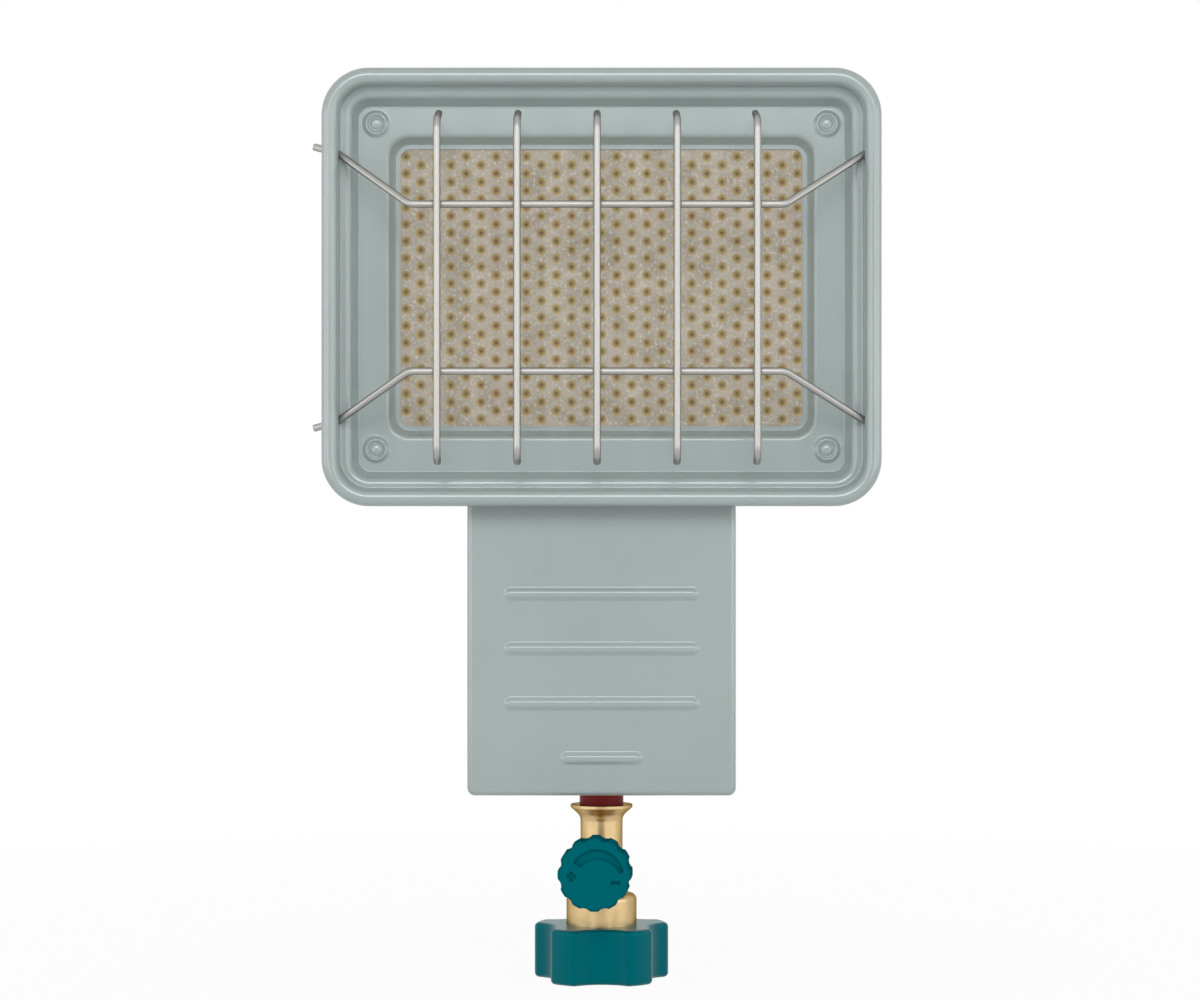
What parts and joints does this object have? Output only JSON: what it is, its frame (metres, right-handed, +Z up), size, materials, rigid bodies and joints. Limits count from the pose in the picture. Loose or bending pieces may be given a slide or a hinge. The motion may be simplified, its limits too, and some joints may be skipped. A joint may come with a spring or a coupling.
{
  "type": "portable propane heater",
  "caption": "Radiant gas heater that screws onto a gas bottle: ceramic plaque in a pressed reflector, wire guard, neck cover, valve with knob and hand nut.",
  "frame": {"origin": "middle of the hand nut's thread, in the plane of its mouth, on the pipe's axis", "axes": "+Z up along the pipe's axis, the heater faces -Y, +X to the right of a person who looks at its front"},
  "size_m": [0.1803, 0.0813, 0.2935],
  "materials": {
    "paint": "semi-gloss blue-grey enamel",
    "aluminised_steel": "dull aluminised sheet",
    "plaque_ceramic": "matte pressed ceramic",
    "fibre": "matte ceramic fibre",
    "screw_steel": "zinc plated",
    "guard_chrome": "bright plated wire",
    "brass": "turned",
    "sintered_bronze": "sintered",
    "red_rubber": "satin",
    "black_rubber": "matte",
    "teal_plastic": "moulded, satin"
  },
  "bodies": {
    "heater": {"reflector": "paint", "corner_rivets": "paint", "burner_box": "aluminised_steel", "ceramic_plaque": "plaque_ceramic", "plaque_gasket": "fibre", "baffle": "aluminised_steel", "mixing_tube": "aluminised_steel", "tube_screws": "screw_steel", "neck_cover": "paint", "air_cage": "brass", "cage_screw": "screw_steel", "jet": "brass", "red_seal": "red_rubber", "guard_cross_wires": "guard_chrome", "guard_uprights": "guard_chrome", "valve_body": "brass", "gland_packing": "black_rubber", "gland_nut": "brass", "connector_stem": "brass", "inlet_filter": "sintered_bronze", "sealing_washer": "black_rubber"},
    "spindle_foot": {"seat_pad": "black_rubber"},
    "knob_set": {"spindle": "brass", "knob": "teal_plastic"},
    "bottle_nut": {"union_nut": "brass", "hand_nut": "teal_plastic"}
  },
  "joints": [
    {"name": "spindle_lift", "type": "slide", "parent": "heater", "child": "spindle_foot", "axis": [-0.061, -0.9981, 0], "range_m": [0, 0.0015]},
    {"name": "knob_turn", "type": "hinge", "parent": "spindle_foot", "child": "knob_set", "pos_m": [0, 0, 0.0382], "axis": [-0.061, -0.9981, 0], "range_deg": [0, 540]},
    {"name": "nut_spin", "type": "hinge", "parent": "heater", "child": "bottle_nut", "pos_m": [0, 0, 0], "axis": [0, 0, 1], "continuous": true}
  ],
  "couplings": [
    {"joint": "knob_turn", "follows": "spindle_lift", "rad_per_m": 6283.2}
  ]
}
